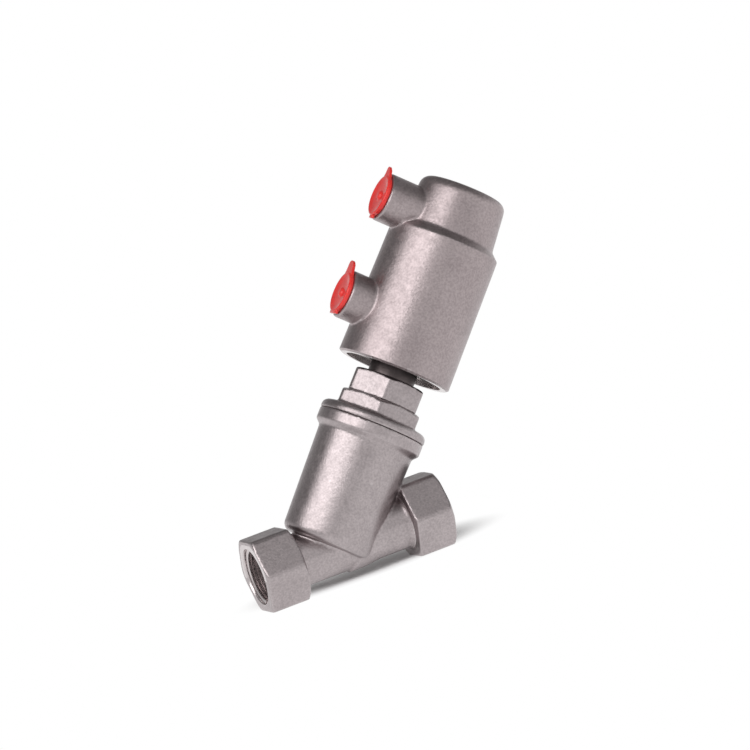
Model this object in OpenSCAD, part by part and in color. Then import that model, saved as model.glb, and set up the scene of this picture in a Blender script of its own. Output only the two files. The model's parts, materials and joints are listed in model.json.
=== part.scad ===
/* [Line ports] */
// Length of the valve body between its two port faces
face_to_face = 95; // [90:0.5:110]
// Size across the flats of the two port hexagons
port_hex = 34.4; // [33:0.1:38]
// Length of each port hexagon along the line
port_hex_len = 19.2; // [16:0.1:21]
// Radius of the soft cast edges of the port hexagons
port_hex_edge = 1.6; // [0.8:0.1:3]
// Major diameter of the pipe thread in both ports
port_thread_d = 26.44; // [24:0.02:27.4]
// Depth of the pipe thread in both ports
port_thread_depth = 16; // [13:0.5:16]
// Width of the chamfer at the mouth of each port
port_chamfer = 1.0; // [0.5:0.1:1.5]
// How far the end faces of the port hexagons reach past their flats
port_hex_face = 0.9; // [0.3:0.1:2]
// Length of the turned slope at both ends of each port hexagon
port_hex_slope = 1; // [0.5:0.1:2]
// Outside diameter of the two pipe necks of the body
pipe_d = 25; // [24:0.2:27]
// Bore of the two passages
passage_d = 20; // [17:0.2:20.4]
// Thickness of the cast pad under the middle of the body
pad_t = 1; // [0.6:0.1:2]
// Width of the pad
pad_w = 22; // [16:0.5:23]
// Distance from the inlet face to the far end of the pad
pad_end = 57; // [55:0.5:66]
// Distance of the slanted end of the pad from the stem axis
pad_offset = 15.2; // [12:0.2:17]

/* [Slanted neck] */
// Angle between the line and the stem
stem_angle = 48.5; // [47:0.5:52]
// Distance from the inlet face to where the stem axis meets the line
axis_x = 34.2; // [33:0.2:37]
// Height of the underside of the neck above the line, along the stem
neck_start = 3.4; // [3:0.2:4.6]
// Length of the neck up to its collar
neck_len = 53.4; // [52:0.2:60]
// Diameter of the neck at its lower end
neck_low_d = 42.4; // [42:0.2:45]
// Diameter of the neck under its collar
neck_top_d = 45.8; // [45.4:0.2:48]
// Radius of the round lower edge of the neck
neck_round = 4; // [3:0.5:5]
// Diameter of the collar at the top of the neck
collar_d = 50.6; // [50:0.2:54]
// Height of the collar
collar_h = 5.4; // [4.4:0.1:8]
// Diameter of the chamber inside the neck
chamber_d = 37; // [34:0.5:38]
// Thickness of the floor of the chamber
chamber_floor = 4; // [3.5:0.1:5]
// Height of the raised seat over the floor of the chamber
seat_h = 1.5; // [1:0.1:2]
// Width of the flat rim of the seat
seat_rim = 2.5; // [2:0.1:3]
// Diameter of the thread that holds the bonnet
bonnet_thread_d = 41; // [40:0.2:42]
// Depth of the thread that holds the bonnet
bonnet_thread_len = 12; // [9:0.5:14]
// Width of the gasket between body and bonnet
gasket_w = 3.2; // [2.4:0.1:3.4]
// Thickness of the gasket between body and bonnet
gasket_t = 1.2; // [0.8:0.1:1.6]

/* [Bonnet] */
// Height of the round flange of the bonnet
flange_h = 4.5; // [3.6:0.1:6]
// Radius of the round upper edge of the flange
flange_round = 2.8; // [1.5:0.1:3.2]
// Size across the flats of the bonnet hexagon
bonnet_hex = 37.8; // [36:0.2:40]
// Height of the bonnet hexagon
bonnet_hex_h = 7.5; // [5:0.1:9]
// Length of the bonnet nose below its thread
bonnet_nose_len = 7; // [5:0.5:9]
// Diameter of the bonnet nose
bonnet_nose_d = 25; // [22:0.5:28]
// Diameter of the packing chamber in the bonnet
packing_d = 17.6; // [16.4:0.1:19]
// Diameter of the hole for the guide bush
bush_d = 15; // [13:0.2:15.6]
// Depth of the packing chamber below the joint face
packing_depth = 9.3; // [8.9:0.1:10.5]
// Number of vee rings in the packing
vee_count = 3; // [2:1:4]
// Thickness of one vee ring
vee_t = 1.35; // [1.1:0.05:1.6]
// Thickness of the steel ring under the packing
packing_washer_t = 1; // [0.8:0.1:1.4]
// Number of disc springs that press the packing
disc_spring_count = 3; // [2:1:4]
// Thickness of one disc spring
disc_spring_t = 0.5; // [0.4:0.05:0.7]
// Free cone height of one disc spring
disc_spring_cone = 0.6; // [0.4:0.05:0.8]

/* [Gland nipple] */
// Size across the flats of the nipple hexagon
nipple_hex = 33; // [32:0.2:36]
// Height of the nipple hexagon
nipple_hex_h = 11.2; // [8:0.1:14]
// Diameter of the round neck that carries the actuator
nipple_neck_d = 22.4; // [21.6:0.2:25]
// Height of that neck between hexagon and actuator
nipple_neck_h = 8.7; // [7.6:0.1:12]
// Diameter of the thread that joins nipple and bonnet
nipple_thread_d = 24; // [21:0.2:26]
// Diameter of the journal on which the actuator turns
journal_d = 19; // [18:0.2:20]
// Turn of both hexagons about the stem
hex_turn = 12; // [0:1:59]

/* [Actuator] */
// Outside diameter of the actuator at its lower rim
rim_d = 54.2; // [53.6:0.2:59]
// Outside diameter of the actuator under its shoulder
barrel_top_d = 52.4; // [51.6:0.2:53.8]
// Height of the straight barrel from rim to shoulder
barrel_h = 64.3; // [63.6:0.1:72]
// Height of the slanted shoulder above the barrel
shoulder_h = 3.5; // [2.5:0.1:5]
// Diameter of the dome where it leaves the shoulder
dome_low_d = 45; // [44.2:0.2:48]
// Diameter of the dome below its round top edge
dome_top_d = 40.8; // [40.4:0.2:44]
// Height of the dome above the shoulder
dome_h = 23; // [22:0.1:28]
// Radius of the round top edge of the dome
dome_round = 4; // [2:0.2:4.5]
// Width of the bevel on the lower edge of the rim
rim_bevel = 1.2; // [0.5:0.1:1.5]
// Diameter of the recess in the lower rim
rim_bore_d = 46.2; // [45.8:0.1:47]
// Depth of the recess below the end cover
rim_depth = 4.6; // [4.2:0.1:6]
// Diameter of the piston bore
piston_bore_d = 45.2; // [44:0.1:45.4]
// Diameter of the spring chamber inside the dome
spring_bore_d = 36.8; // [36.6:0.1:37.4]
// Thickness of the roof of the dome
roof_t = 3.1; // [2.4:0.1:4]
// Thickness of the end cover
cover_h = 8.4; // [8.2:0.1:10]
// Diameter of the two air port bosses
boss_d = 22.9; // [19:0.1:24]
// Reach of the boss faces from the stem axis
boss_reach = 36.3; // [35.2:0.1:42]
// Height of the lower air port above the rim
port_low_h = 24.1; // [23.2:0.1:26.4]
// Height of the upper air port above the rim
port_high_h = 72.3; // [71:0.1:76]
// Major diameter of the thread in the air ports
air_thread_d = 13.16; // [9.8:0.02:13.2]
// Depth of the thread in the air ports
air_thread_depth = 12; // [10.5:0.1:12.2]
// Diameter of the plain mouth in front of each air thread
air_mouth_d = 13.7; // [13.6:0.02:14.4]
// Depth of that mouth
air_mouth_depth = 6.3; // [4.8:0.1:6.8]
// Diameter of the air passage behind each thread
air_pilot_d = 5; // [3:0.1:6]

/* [Stem and disc] */
// Diameter of the stem
stem_d = 10; // [9:0.1:11]
// Diameter of the threaded ends of the stem
stem_thread_d = 8; // [6:0.1:8.4]
// Diameter of the disc that closes the seat
disc_d = 28; // [27.6:0.1:31]
// Thickness of the disc plate
disc_t = 5; // [4:0.1:7]
// Thickness of the soft sealing ring in the disc
disc_seal_t = 4; // [3:0.1:5]
// Thickness of the washer under the sealing ring
disc_washer_t = 2; // [1.5:0.1:2.5]
// Height of the guide boss on top of the disc
disc_boss_h = 4; // [2:0.2:6]
// Size across the flats of the two stem nuts
nut_hex = 13; // [12.6:0.1:14]
// Height of the two stem nuts
nut_h = 6.5; // [5:0.1:7]

/* [Piston and springs] */
// Thickness of the piston
piston_t = 10; // [9:0.1:12]
// Height of the hub under the piston
piston_hub_h = 6; // [5:0.1:7]
// Diameter of the hub under the piston
piston_hub_d = 19; // [17:0.2:24]
// Thickness of the washer on the piston
piston_washer_t = 1.5; // [1:0.1:2]
// Mean diameter of the outer return spring
spring_out_d = 31.4; // [30.6:0.1:31.8]
// Wire diameter of the outer return spring
spring_out_wire = 3.2; // [2.8:0.1:3.4]
// Number of turns of the outer return spring
spring_out_turns = 7; // [5:1:8]
// Mean diameter of the inner return spring
spring_in_d = 21.8; // [21.4:0.1:22.4]
// Wire diameter of the inner return spring
spring_in_wire = 2.4; // [2:0.1:2.6]
// Number of turns of the inner return spring
spring_in_turns = 9; // [7:1:10]

/* [Air port plugs] */
// Diameter of the flange of each plug
plug_d = 19.8; // [18:0.2:22]
// Thickness of the flange of each plug
plug_t = 2; // [1.4:0.1:2.4]
// Length of the plug stub in the thread
plug_stub = 6; // [4:0.1:6.2]
// Reach of the pull tab beyond the centre of the plug
tab_reach = 14.6; // [13:0.2:16]
// Width of the pull tab
tab_w = 5.4; // [4:0.2:7]
// Reach of the small moulding nib opposite the tab
nib_reach = 11.2; // [11.1:0.1:12]

/* [Fits] */
// Radial clearance of the stem in its guide bush and seals
run_clear = 0.03; // [0.02:0.01:0.06]
// Radial clearance of the actuator on its journal
swivel_clear = 0.05; // [0.03:0.01:0.08]
// Radial clearance between threaded or pushed-in pieces
thread_clear = 0.1; // [0.05:0.01:0.15]
// Radial clearance of the piston in its bore
piston_clear = 0.3; // [0.2:0.05:0.4]
// Radial clearance of the plugs in their threads
plug_clear = 0.3; // [0.2:0.05:0.4]
// Axial play of the retaining rings
ring_play = 0.1; // [0.05:0.01:0.15]

/* [Hidden] */
$fn = 72;

// Small overlap that keeps cutters clear of the faces they open
eps = 0.5;
// Straight steps in each quarter of a cast round
arc_steps = 6;
// Space between stacked rings of one group
stack_gap = 0.03;

// Heights along the stem, measured from where the stem axis meets the line
floor_w = neck_start + chamber_floor;
seat_w = floor_w + seat_h;
collar_w = neck_start + neck_len;
joint_w = collar_w + collar_h;
flange_top_w = joint_w + flange_h;
bonnet_top_w = flange_top_w + bonnet_hex_h;
nipple_hex_w = bonnet_top_w + nipple_hex_h;
cover_w = nipple_hex_w + nipple_neck_h;
cover_top_w = cover_w + cover_h;
rim_w = cover_w - rim_depth;
barrel_top_w = rim_w + barrel_h;
dome_w = barrel_top_w + shoulder_h;
dome_top_w = dome_w + dome_h;
roof_w = dome_top_w - roof_t;
port_low_w = rim_w + port_low_h;
port_high_w = rim_w + port_high_h;

// Stack of the packing, from the lower end of the bonnet upwards
bonnet_thread_w = joint_w - bonnet_thread_len;
bonnet_nose_w = bonnet_thread_w - bonnet_nose_len;
bush_flange_t = 1;
bush_play = 0.3;
bush_seat_w = joint_w - packing_depth;
disc_spring_pitch = disc_spring_t + disc_spring_cone + stack_gap;
vee_pitch = vee_t + stack_gap;
packing_washer_w = bush_seat_w + bush_flange_t + disc_spring_count * disc_spring_pitch;
vee_w = packing_washer_w + packing_washer_t;
vee_depth = 0.9;
gland_w = vee_w + vee_count * vee_pitch + vee_depth;
gland_nose_h = 0.8;
nipple_shank_w = gland_w + gland_nose_h;

// Journal, its washer and its retaining ring above the end cover
swivel_washer_t = 1;
swivel_washer_rim = 3.5;
swivel_ring_t = 1.2;
swivel_ring_w = cover_top_w + swivel_washer_t + 2 * ring_play;
nipple_top_w = swivel_ring_w + swivel_ring_t + 1.6;
groove_depth = 0.9;
wiper_h = 2;
wiper_w = bonnet_top_w + 1.8;
stem_seal_h = 2.6;
stem_seal_w = swivel_ring_w - stem_seal_h - 0.6;
seal_groove_r = stem_d / 2 + 2.4;
nipple_bore_r = stem_d / 2 + 0.5;

// Piston, springs and stem
cover_ring_t = 1.5;
spring_step_drop = 6.5;
spring_step_w = dome_w - spring_step_drop;
piston_w = port_low_w + air_pilot_d / 2 + 2;
piston_top_w = piston_w + piston_t;
piston_hub_w = piston_w - piston_hub_h;
piston_washer_rim = 4.2;
piston_nut_w = piston_top_w + piston_washer_t;
piston_r = piston_bore_d / 2 - piston_clear;
stem_top_w = piston_nut_w + nut_h + 2;
disc_w = seat_w + disc_seal_t;
disc_top_w = disc_w + disc_t + disc_boss_h;
disc_nut_w = seat_w - disc_washer_t - nut_h;
stem_low_w = disc_nut_w - 1;
seat_bore_r = passage_d / 2;
outlet_way_start = 4;
disc_skirt_t = 0.9;

// Bush and seals inside the end cover, measured from its underside
swivel_bush_h = 4.8;
swivel_bush_r = journal_d / 2 + 1.6;
swivel_seal_h = 2;
swivel_seal_z = swivel_bush_h + 0.7;
swivel_seal_r = journal_d / 2 + 2;
cover_seal_h = 2.8;
cover_seal_z = 2.6;
cover_seal_r = rim_bore_d / 2 - 2.4;
cover_ring_depth = 1.1;
cover_dish_depth = 1;
cover_dish_rim = 3.4;
cover_hub_rim = 2;

// Grooves of the guide ring and of the seal, measured from the underside of the piston
piston_ring_z = 1.6;
piston_ring_h = 2;
piston_ring_r = piston_r - 1.2;
piston_seal_z = 5;
piston_seal_h = 2.8;
piston_seal_r = piston_r - 2.6;

// Points of an arc about a centre in the half plane of a turned profile
function arc(cx, cy, r, a0, a1, n = arc_steps) =
    [for (i = [0 : n]) [cx + r * cos(a0 + (a1 - a0) * i / n), cy + r * sin(a0 + (a1 - a0) * i / n)]];

// Outline of a hexagon with round corners, corners at 30, 90, 150 degrees and so on
function soft_hexagon(flats, r) =
    [for (k = [0 : 5])
        for (i = [0 : 4])
            let (a = 30 + 60 * k, c = (flats / 2 - r) / cos(30))
            [c * cos(a) + r * cos(a - 30 + 15 * i), c * sin(a) + r * sin(a - 30 + 15 * i)]];

// Places a piece on the stem axis at a height above the line
module on_stem(w) {
    translate([axis_x, 0, 0])
        rotate([0, 90 - stem_angle, 0])
            translate([0, 0, w])
                children();
}

// Lays a piece along the line, starting at a distance from the inlet face
module on_line(x) {
    translate([x, 0, 0])
        rotate([0, 90, 0])
            children();
}

// Points a piece out along an air port, away from the stem axis
module on_port(w, reach) {
    on_stem(w)
        rotate([0, -90, 0])
            translate([0, 0, reach])
                children();
}

module turned(points) {
    rotate_extrude()
        polygon(points);
}

module ring(r_in, r_out, h) {
    turned([[r_in, 0], [r_out, 0], [r_out, h], [r_in, h]]);
}

// Seal ring with bevelled corners
module seal(r_in, r_out, h) {
    c = min(h, r_out - r_in) / 4;
    turned([
        [r_in, c], [r_in + c, 0], [r_out - c, 0], [r_out, c],
        [r_out, h - c], [r_out - c, h], [r_in + c, h], [r_in, h - c]
    ]);
}

// Hexagon with its corners turned off at both ends
module turned_hexagon(flats, h, low = 1, high = 1) {
    r = flats / 2;
    r_corner = r / cos(30);
    c = (r_corner - r) * 0.62;
    intersection() {
        rotate([0, 0, hex_turn])
            cylinder(h = h, r = r_corner, $fn = 6);
        turned([
            [0, 0], [r_corner - low * (r_corner - r) * 0.98, 0], [r_corner + 0.02, low * c],
            [r_corner + 0.02, h - high * c], [r_corner - high * (r_corner - r) * 0.98, h], [0, h]
        ]);
    }
}

// Coil spring from 0 to a height, with closed end turns
module coil(mean_d, wire, turns, h) {
    sides = 8;
    per_turn = 20;
    n = turns * per_turn;
    free_h = h - wire;
    closed = wire * 1.03;
    pitch = (free_h - 2 * closed) / (turns - 2);
    function rise(t) = t < 1 ? t * closed
        : t > turns - 1 ? free_h - (turns - t) * closed
        : closed + (t - 1) * pitch;
    points = [for (i = [0 : n]) for (j = [0 : sides - 1])
        let (t = i / per_turn, a = 360 * t, b = 360 * j / sides, r = mean_d / 2 + wire / 2 * cos(b))
        [r * cos(a), r * sin(a), wire / 2 + rise(t) + wire / 2 * sin(b)]];
    faces = concat(
        [[for (j = [0 : sides - 1]) j]],
        [for (i = [0 : n - 1]) for (j = [0 : sides - 1])
            let (k = (j + 1) % sides)
            [i * sides + j, (i + 1) * sides + j, (i + 1) * sides + k, i * sides + k]],
        [[for (j = [sides - 1 : -1 : 0]) n * sides + j]]);
    polyhedron(points, faces, convexity = 10);
}

// One port hexagon with both ends turned, from 0 to its length
module port_hexagon() {
    face_r = port_hex / 2 + port_hex_face;
    corner_r = port_hex / 2 / cos(30) + eps;
    intersection() {
        linear_extrude(height = port_hex_len)
            polygon(soft_hexagon(port_hex, port_hex_edge));
        turned([
            [0, 0], [face_r, 0], [corner_r, port_hex_slope],
            [corner_r, port_hex_len - port_hex_slope], [face_r, port_hex_len], [0, port_hex_len]
        ]);
    }
}

// Slanted neck with its collar, from the underside up to the joint face
module neck_shape() {
    low_r = neck_low_d / 2;
    top_r = neck_top_d / 2;
    lip = 0.4;
    turned(concat(
        [[0, 0]],
        arc(low_r - neck_round, neck_round, neck_round, -90, 0),
        [
            [top_r, neck_len - (collar_d - neck_top_d) / 2],
            [collar_d / 2, neck_len], [collar_d / 2, neck_len + collar_h - lip],
            [collar_d / 2 - lip, neck_len + collar_h], [0, neck_len + collar_h]
        ]));
}

// Ways that the liquid takes through the body
module passages() {
    r = passage_d / 2;
    elbow_r = r + 0.4;
    on_line(port_thread_depth - eps)
        cylinder(h = axis_x - port_thread_depth + eps, r = r);
    translate([axis_x, 0, 0])
        sphere(r = elbow_r);
    on_stem(0)
        cylinder(h = seat_w + eps, r = seat_bore_r);
    intersection() {
        on_line(axis_x + outlet_way_start)
            cylinder(h = face_to_face - port_thread_depth + eps - axis_x - outlet_way_start, r = r);
        on_stem(floor_w)
            cylinder(h = neck_len, r = face_to_face);
    }
}

// Thread bore of one port with its chamfer, opening at 0
module port_thread() {
    r = port_thread_d / 2;
    turned([
        [0, -eps], [r + port_chamfer + eps, -eps], [r, port_chamfer],
        [r, port_thread_depth], [passage_d / 2 - eps, port_thread_depth + r - passage_d / 2 + eps],
        [0, port_thread_depth + eps]
    ]);
}

// Chamber above the seat, the bonnet thread and the gasket recess
module chamber() {
    seat_r = seat_bore_r + seat_rim;
    on_stem(floor_w)
        turned([
            [seat_r, 0], [chamber_d / 2, 0], [chamber_d / 2, joint_w - floor_w - eps],
            [0, joint_w - floor_w - eps], [0, seat_h], [seat_r, seat_h]
        ]);
    on_stem(bonnet_thread_w)
        cylinder(h = bonnet_thread_len + eps, r = bonnet_thread_d / 2);
    on_stem(joint_w - gasket_t)
        cylinder(h = gasket_t + eps, r = bonnet_thread_d / 2 + gasket_w + 2 * thread_clear);
}

// Cast pad under the middle of the body, its near end cut parallel to the stem
module belly_pad() {
    pad_r = pipe_d / 2 + pad_t;
    pad_len = pad_end - axis_x;
    intersection() {
        on_line(axis_x)
            cylinder(h = pad_len, r = pad_r);
        translate([axis_x, -pad_w / 2, -pad_r - eps])
            cube([pad_len, pad_w, pad_r]);
        on_stem(-pad_len)
            translate([pad_offset, -pad_w, 0])
                cube([pad_len, 2 * pad_w, 2 * pad_len]);
    }
}

module valve_body() {
    color("silver")
        difference() {
            union() {
                on_line(0)
                    port_hexagon();
                on_line(face_to_face - port_hex_len)
                    port_hexagon();
                on_line(port_hex_len - 1)
                    cylinder(h = face_to_face - 2 * port_hex_len + 2, r = pipe_d / 2);
                on_stem(neck_start)
                    neck_shape();
                belly_pad();
            }
            on_line(0)
                port_thread();
            translate([face_to_face, 0, 0])
                rotate([0, -90, 0])
                    port_thread();
            passages();
            chamber();
        }
}

module body_gasket() {
    color("whitesmoke")
        on_stem(joint_w - gasket_t)
            ring(bonnet_thread_d / 2 + thread_clear, bonnet_thread_d / 2 + gasket_w + thread_clear, gasket_t);
}

module bonnet() {
    lip = 0.4;
    r = collar_d / 2 + 0.1;
    color("silver")
        on_stem(0)
            difference() {
                union() {
                    turned(concat(
                        [[0, bonnet_nose_w], [bonnet_nose_d / 2, bonnet_nose_w],
                        [bonnet_nose_d / 2, bonnet_thread_w], [bonnet_thread_d / 2 - thread_clear, bonnet_thread_w],
                        [bonnet_thread_d / 2 - thread_clear, joint_w], [r - lip, joint_w], [r, joint_w + lip]],
                        arc(r - flange_round, flange_top_w - flange_round, flange_round, 0, 90),
                        [[0, flange_top_w]]));
                    translate([0, 0, flange_top_w - eps])
                        turned_hexagon(bonnet_hex, bonnet_hex_h + eps, 0, 1);
                }
                translate([0, 0, bonnet_nose_w - eps])
                    cylinder(h = joint_w, r = bush_d / 2);
                translate([0, 0, bush_seat_w])
                    cylinder(h = joint_w, r = packing_d / 2);
                translate([0, 0, nipple_shank_w])
                    cylinder(h = joint_w, r = nipple_thread_d / 2);
            }
}

module guide_bush() {
    bush_len = bush_seat_w - bonnet_nose_w - bush_play;
    color("ivory")
        on_stem(bonnet_nose_w + bush_play)
            turned([
                [stem_d / 2 + run_clear, 0], [bush_d / 2 - thread_clear, 0],
                [bush_d / 2 - thread_clear, bush_len],
                [packing_d / 2 - thread_clear, bush_len],
                [packing_d / 2 - thread_clear, bush_len + bush_flange_t],
                [stem_d / 2 + run_clear, bush_len + bush_flange_t]
            ]);
}

// Disc springs stacked back to back
module packing_disc_springs() {
    r0 = stem_d / 2 + 0.6;
    r1 = packing_d / 2 - 0.3;
    color("gainsboro")
        for (i = [0 : disc_spring_count - 1])
            let (low = i % 2 == 0 ? disc_spring_cone : 0, high = disc_spring_cone - low)
                on_stem(bush_seat_w + bush_flange_t + i * disc_spring_pitch)
                    turned([[r0, low], [r1, high], [r1, high + disc_spring_t], [r0, low + disc_spring_t]]);
}

module packing_washer() {
    color("gainsboro")
        on_stem(packing_washer_w)
            ring(stem_d / 2 + 0.3, packing_d / 2 - thread_clear, packing_washer_t);
}

// Nested vee rings that seal on the stem
module packing_vee_rings() {
    r0 = stem_d / 2 + run_clear;
    r1 = packing_d / 2 - thread_clear;
    rm = (r0 + r1) / 2;
    color("ivory")
        for (i = [0 : vee_count - 1])
            on_stem(vee_w + i * vee_pitch)
                turned([
                    [r0, 0], [rm, vee_depth], [r1, 0], [r1, vee_t],
                    [rm, vee_t + vee_depth], [r0, vee_t]
                ]);
}

module gland_nipple() {
    color("lightgray")
        on_stem(0)
            difference() {
                union() {
                    translate([0, 0, gland_w])
                        cylinder(h = gland_nose_h + eps, r = packing_d / 2 - thread_clear);
                    translate([0, 0, nipple_shank_w])
                        cylinder(h = bonnet_top_w - nipple_shank_w + eps, r = nipple_thread_d / 2 - thread_clear);
                    translate([0, 0, bonnet_top_w])
                        turned_hexagon(nipple_hex, nipple_hex_h, 0, 1);
                    translate([0, 0, nipple_hex_w - eps])
                        cylinder(h = nipple_neck_h + eps, r = nipple_neck_d / 2);
                    translate([0, 0, cover_w - eps])
                        turned([
                            [0, 0], [journal_d / 2, 0], [journal_d / 2, nipple_top_w - cover_w + eps - 0.5],
                            [journal_d / 2 - 0.5, nipple_top_w - cover_w + eps], [0, nipple_top_w - cover_w + eps]
                        ]);
                }
                translate([0, 0, gland_w - eps])
                    cylinder(h = nipple_top_w - gland_w + 2 * eps, r = nipple_bore_r);
                translate([0, 0, wiper_w])
                    cylinder(h = wiper_h + ring_play, r = seal_groove_r);
                translate([0, 0, stem_seal_w])
                    cylinder(h = stem_seal_h + ring_play, r = seal_groove_r);
                translate([0, 0, swivel_ring_w - ring_play])
                    ring(journal_d / 2 - groove_depth, journal_d, swivel_ring_t + 2 * ring_play);
            }
}

module stem_wiper() {
    color("ivory")
        on_stem(wiper_w + ring_play / 2)
            seal(stem_d / 2 + run_clear, seal_groove_r - thread_clear / 2, wiper_h);
}

module stem_seal() {
    color("dimgray")
        on_stem(stem_seal_w + ring_play / 2)
            seal(stem_d / 2 + run_clear, seal_groove_r - thread_clear / 2, stem_seal_h);
}

module swivel_washer() {
    color("gainsboro")
        on_stem(cover_top_w + ring_play)
            ring(journal_d / 2 + swivel_clear, journal_d / 2 + swivel_washer_rim, swivel_washer_t);
}

// Open ring that holds the actuator on its journal
module swivel_circlip() {
    color("slategray")
        on_stem(swivel_ring_w)
            rotate([0, 0, 30])
                rotate_extrude(angle = 300)
                    translate([journal_d / 2 - groove_depth + thread_clear, 0])
                        square([groove_depth + 1.4, swivel_ring_t]);
}

// Outer shape of the actuator: barrel, shoulder and dome
module housing_shape() {
    top_r = dome_top_d / 2;
    turned(concat(
        [[0, 0], [rim_d / 2 - rim_bevel, 0], [rim_d / 2, rim_bevel * 0.7]],
        arc(barrel_top_d / 2 - 1, barrel_h - 1, 1, 0, 45, 3),
        [[dome_low_d / 2, barrel_h + shoulder_h]],
        arc(top_r - dome_round, barrel_h + shoulder_h + dome_h - dome_round, dome_round, 0, 90),
        [[0, barrel_h + shoulder_h + dome_h]]));
}

// Air port boss, from the stem axis to its face
module boss() {
    soft = 0.9;
    turned([
        [0, 0], [boss_d / 2, 0], [boss_d / 2, boss_reach - soft],
        [boss_d / 2 - soft * 0.35, boss_reach - soft * 0.35], [boss_d / 2 - soft, boss_reach], [0, boss_reach]
    ]);
}

// Thread and air passage of one port, measured from the stem axis
module air_port_cut() {
    translate([0, 0, boss_reach - air_mouth_depth])
        cylinder(h = air_mouth_depth + eps, r = air_mouth_d / 2);
    translate([0, 0, boss_reach - air_thread_depth])
        cylinder(h = air_thread_depth, r = air_thread_d / 2);
    translate([0, 0, spring_bore_d / 2 - 2])
        cylinder(h = boss_reach - air_thread_depth - spring_bore_d / 2 + 2 + eps, r = air_pilot_d / 2);
}

module actuator_housing() {
    soft = 0.8;
    color("silver")
        difference() {
            union() {
                on_stem(rim_w)
                    housing_shape();
                on_port(port_low_w, 0)
                    boss();
                on_port(port_high_w, 0)
                    boss();
            }
            on_stem(0)
                turned([
                    [0, rim_w - eps], [rim_bore_d / 2, rim_w - eps],
                    [rim_bore_d / 2, cover_w - cover_ring_t - ring_play],
                    [rim_bore_d / 2 + cover_ring_depth, cover_w - cover_ring_t - ring_play],
                    [rim_bore_d / 2 + cover_ring_depth, cover_w], [rim_bore_d / 2, cover_w],
                    [rim_bore_d / 2, cover_top_w], [piston_bore_d / 2, cover_top_w],
                    [piston_bore_d / 2, spring_step_w], [spring_bore_d / 2, spring_step_w],
                    [spring_bore_d / 2, roof_w - soft], [spring_bore_d / 2 - soft, roof_w], [0, roof_w]
                ]);
            on_port(port_low_w, 0)
                air_port_cut();
            on_port(port_high_w, 0)
                air_port_cut();
        }
}

module end_cover() {
    r = rim_bore_d / 2 - thread_clear;
    color("silver")
        on_stem(cover_w)
            difference() {
                turned([
                    [journal_d / 2 + swivel_clear, 0], [r - 0.5, 0], [r, 0.5], [r, cover_seal_z],
                    [cover_seal_r, cover_seal_z], [cover_seal_r, cover_seal_z + cover_seal_h],
                    [r, cover_seal_z + cover_seal_h], [r, cover_h - 0.3], [r - 0.3, cover_h],
                    [journal_d / 2 + swivel_clear, cover_h]
                ]);
                translate([0, 0, -eps])
                    cylinder(h = swivel_bush_h + eps, r = swivel_bush_r);
                translate([0, 0, swivel_seal_z])
                    cylinder(h = swivel_seal_h + ring_play, r = swivel_seal_r);
                translate([0, 0, -eps])
                    ring(nipple_neck_d / 2 + cover_hub_rim, cover_seal_r - cover_dish_rim, eps + cover_dish_depth);
            }
}

module end_cover_o_ring() {
    color("dimgray")
        on_stem(cover_w + cover_seal_z + ring_play / 2)
            seal(cover_seal_r + thread_clear / 2, rim_bore_d / 2 - thread_clear / 2, cover_seal_h - ring_play);
}

// Open ring with two eyes that holds the end cover in the rim
module end_cover_circlip() {
    r_out = rim_bore_d / 2 + cover_ring_depth - thread_clear;
    r_in = rim_bore_d / 2 - 1.9;
    eye_r = 1.9;
    gap = 26;
    color("slategray")
        on_stem(cover_w - cover_ring_t - ring_play / 2)
            rotate([0, 0, hex_turn + 12])
                union() {
                    rotate([0, 0, gap / 2])
                        rotate_extrude(angle = 360 - gap)
                            translate([r_in, 0])
                                square([r_out - r_in, cover_ring_t]);
                    for (side = [-1, 1])
                        rotate([0, 0, side * (gap / 2 + 3)])
                            translate([r_in - 0.6, 0, 0])
                                difference() {
                                    cylinder(h = cover_ring_t, r = eye_r);
                                    translate([0, 0, -eps])
                                        cylinder(h = cover_ring_t + 2 * eps, r = 0.8);
                                }
                }
}

module swivel_bush() {
    color("peru")
        on_stem(cover_w)
            ring(journal_d / 2 + swivel_clear, swivel_bush_r - thread_clear / 2, swivel_bush_h);
}

module swivel_seal() {
    color("dimgray")
        on_stem(cover_w + swivel_seal_z + ring_play / 2)
            seal(journal_d / 2 + swivel_clear, swivel_seal_r - thread_clear / 2, swivel_seal_h);
}

module outer_return_spring() {
    color("lightgray")
        on_stem(piston_top_w)
            coil(spring_out_d, spring_out_wire, spring_out_turns, roof_w - piston_top_w);
}

module inner_return_spring() {
    color("lightgray")
        on_stem(piston_top_w)
            coil(spring_in_d, spring_in_wire, spring_in_turns, roof_w - piston_top_w);
}

module stem() {
    r = stem_d / 2;
    rt = stem_thread_d / 2;
    soft = 0.6;
    color("gainsboro")
        on_stem(0)
            turned([
                [0, stem_low_w], [rt - soft, stem_low_w], [rt, stem_low_w + soft], [rt, disc_top_w],
                [r, disc_top_w], [r, piston_hub_w], [rt, piston_hub_w], [rt, stem_top_w - soft],
                [rt - soft, stem_top_w], [0, stem_top_w]
            ]);
}

module disc_holder() {
    r = disc_d / 2;
    bore = stem_thread_d / 2 + thread_clear / 2;
    skirt = disc_seal_t * 0.62;
    color("silver")
        on_stem(disc_w)
            turned([
                [bore, 0], [r - disc_skirt_t, 0], [r - disc_skirt_t, -skirt], [r, -skirt],
                [r, disc_t - 0.6], [r - 0.6, disc_t], [stem_d / 2 + 3, disc_t],
                [stem_d / 2 + 3, disc_t + disc_boss_h], [bore, disc_t + disc_boss_h]
            ]);
}

module disc_seal() {
    color("ivory")
        on_stem(seat_w)
            ring(stem_thread_d / 2 + thread_clear, disc_d / 2 - disc_skirt_t - thread_clear / 2, disc_seal_t);
}

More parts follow.
